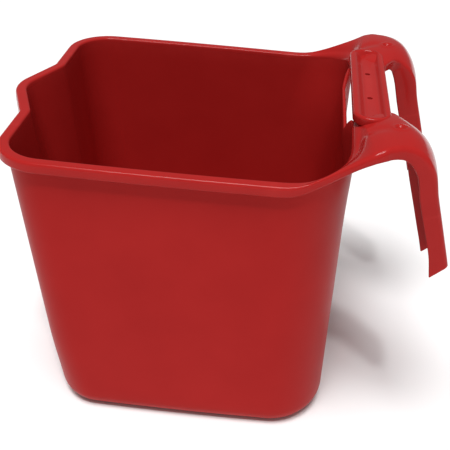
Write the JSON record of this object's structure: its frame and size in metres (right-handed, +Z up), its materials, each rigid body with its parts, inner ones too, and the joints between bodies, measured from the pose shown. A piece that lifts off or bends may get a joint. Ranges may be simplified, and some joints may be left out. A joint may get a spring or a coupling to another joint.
{
  "type": "hook-over feed bucket",
  "caption": "Tapered plastic feed tub with a pouring lip at one end and, at the other, hooks that hang it on a rail or stable door, with a carry grip between them.",
  "frame": {"origin": "on the underside of the floor, below the middle of the mouth's length", "axes": "+X towards the hooks, +Y across the bucket, +Z up"},
  "size_m": [0.3525, 0.2594, 0.272],
  "materials": {
    "tub_plastic": "red injection-moulded plastic with a satin gloss"
  },
  "bodies": {
    "root": {"tub_floor": "tub_plastic", "tub_shell": "tub_plastic", "pouring_lip": "tub_plastic", "mouth_rim_near": "tub_plastic", "mouth_rim_far": "tub_plastic", "hook_arm_near": "tub_plastic", "hook_arm_far": "tub_plastic", "hook_leg_near": "tub_plastic", "hook_leg_far": "tub_plastic", "hook_toe_near": "tub_plastic", "hook_toe_far": "tub_plastic", "carry_grip": "tub_plastic"}
  },
  "joints": []
}
